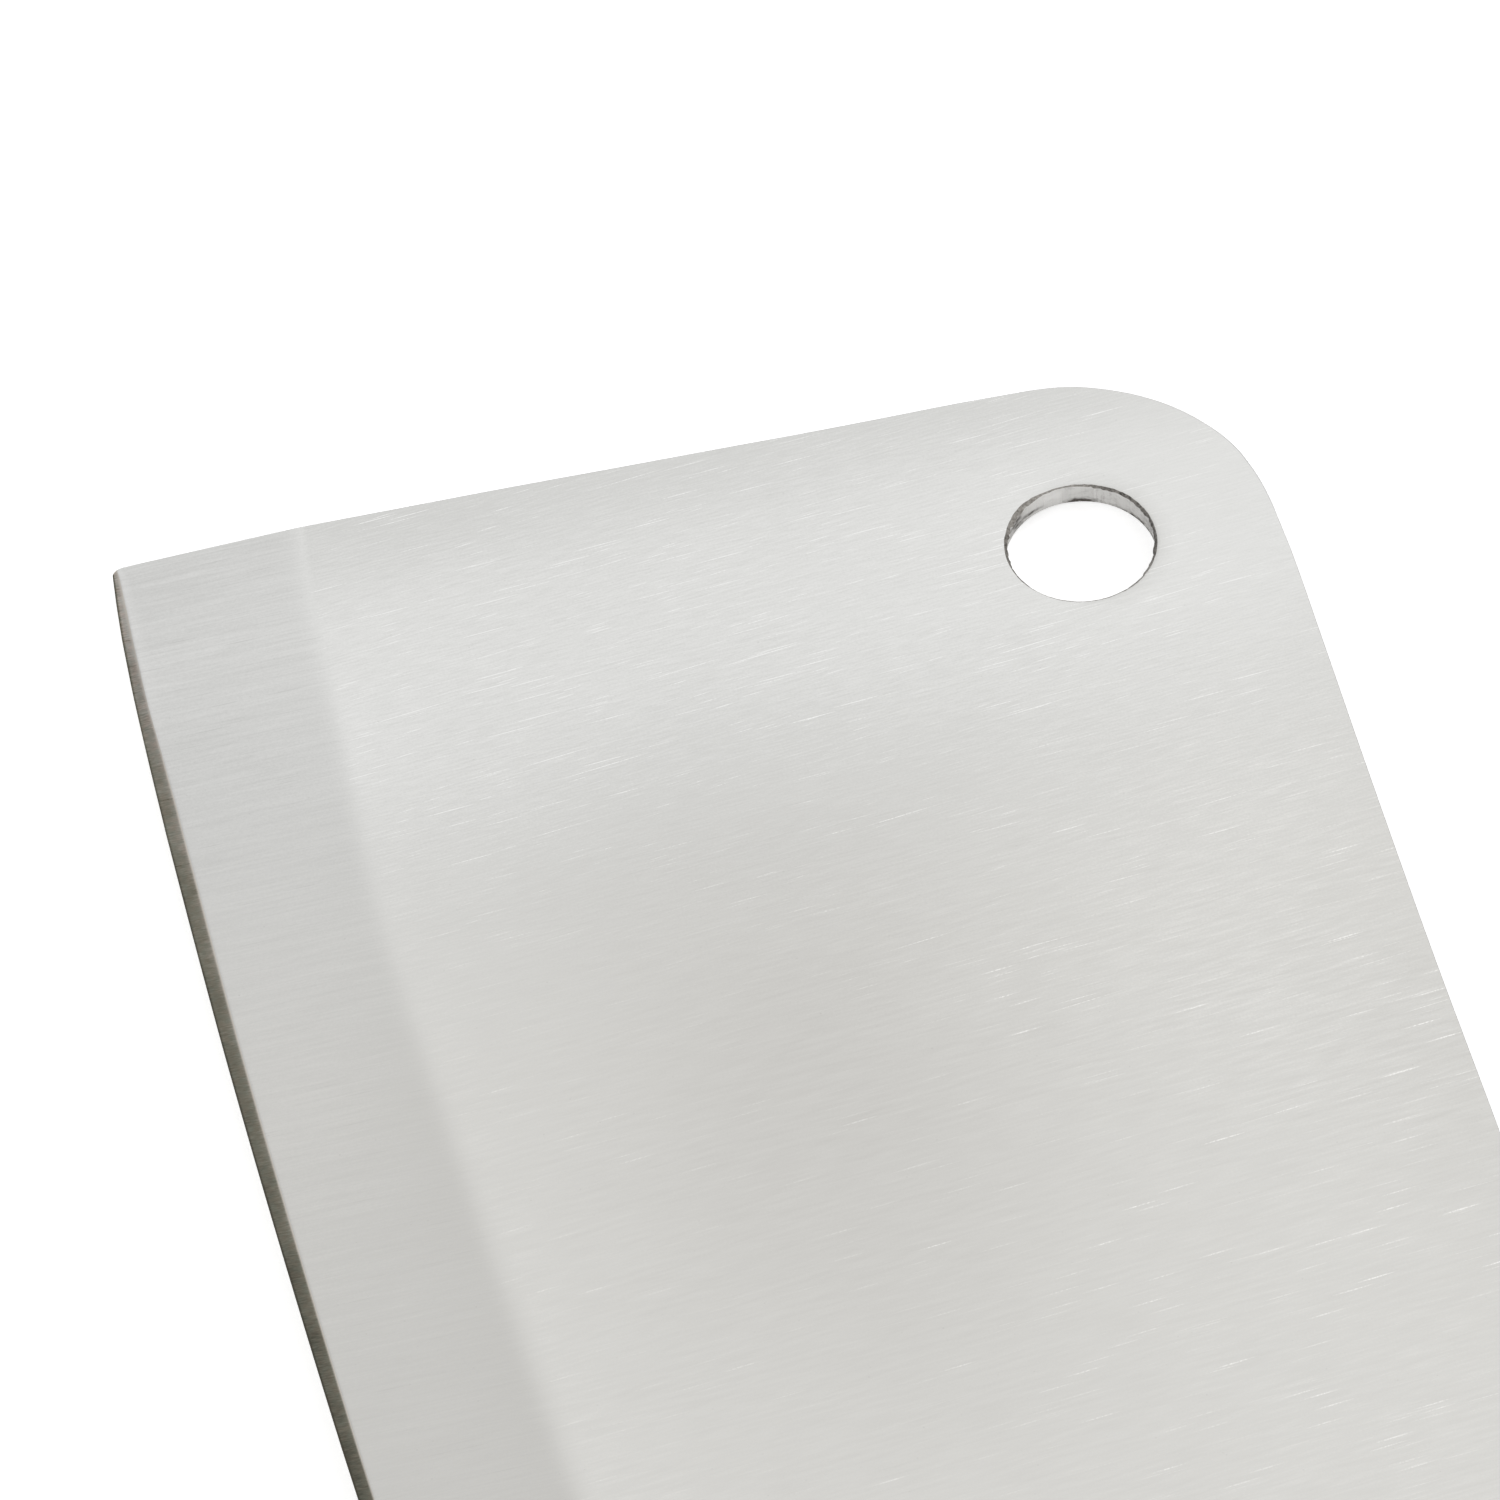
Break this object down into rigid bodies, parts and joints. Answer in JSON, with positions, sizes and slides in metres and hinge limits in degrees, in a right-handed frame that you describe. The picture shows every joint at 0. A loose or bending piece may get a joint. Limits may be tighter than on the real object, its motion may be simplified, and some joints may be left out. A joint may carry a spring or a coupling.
{
  "type": "chinese cleaver",
  "caption": "Broad rectangular kitchen cleaver: a ground steel blade with a hanging hole in the nose corner, and hardwood scales riveted to a full tang.",
  "frame": {"origin": "centre of the hanging hole, half way through the blade's thickness", "axes": "+X along the blade from the nose to the butt of the handle, +Y towards the spine (the edge is at -Y), +Z out of the left face, along the hole's axis"},
  "size_m": [0.3267, 0.0913, 0.0204],
  "materials": {
    "blade_steel": "long diagonal belt brushing on the faces, finer brushing on the ground bevel, dark stoned micro bevel",
    "scale_wood": "oiled rosewood with fine dark grain along the handle",
    "rivet_brass": "ground level with the scales and lightly polished"
  },
  "bodies": {
    "root": {"blade": "blade_steel", "scale_left": "scale_wood", "scale_right": "scale_wood", "rivet_front_female": "rivet_brass", "rivet_front_male": "rivet_brass", "rivet_middle_female": "rivet_brass", "rivet_middle_male": "rivet_brass", "rivet_rear_female": "rivet_brass", "rivet_rear_male": "rivet_brass"}
  },
  "joints": []
}
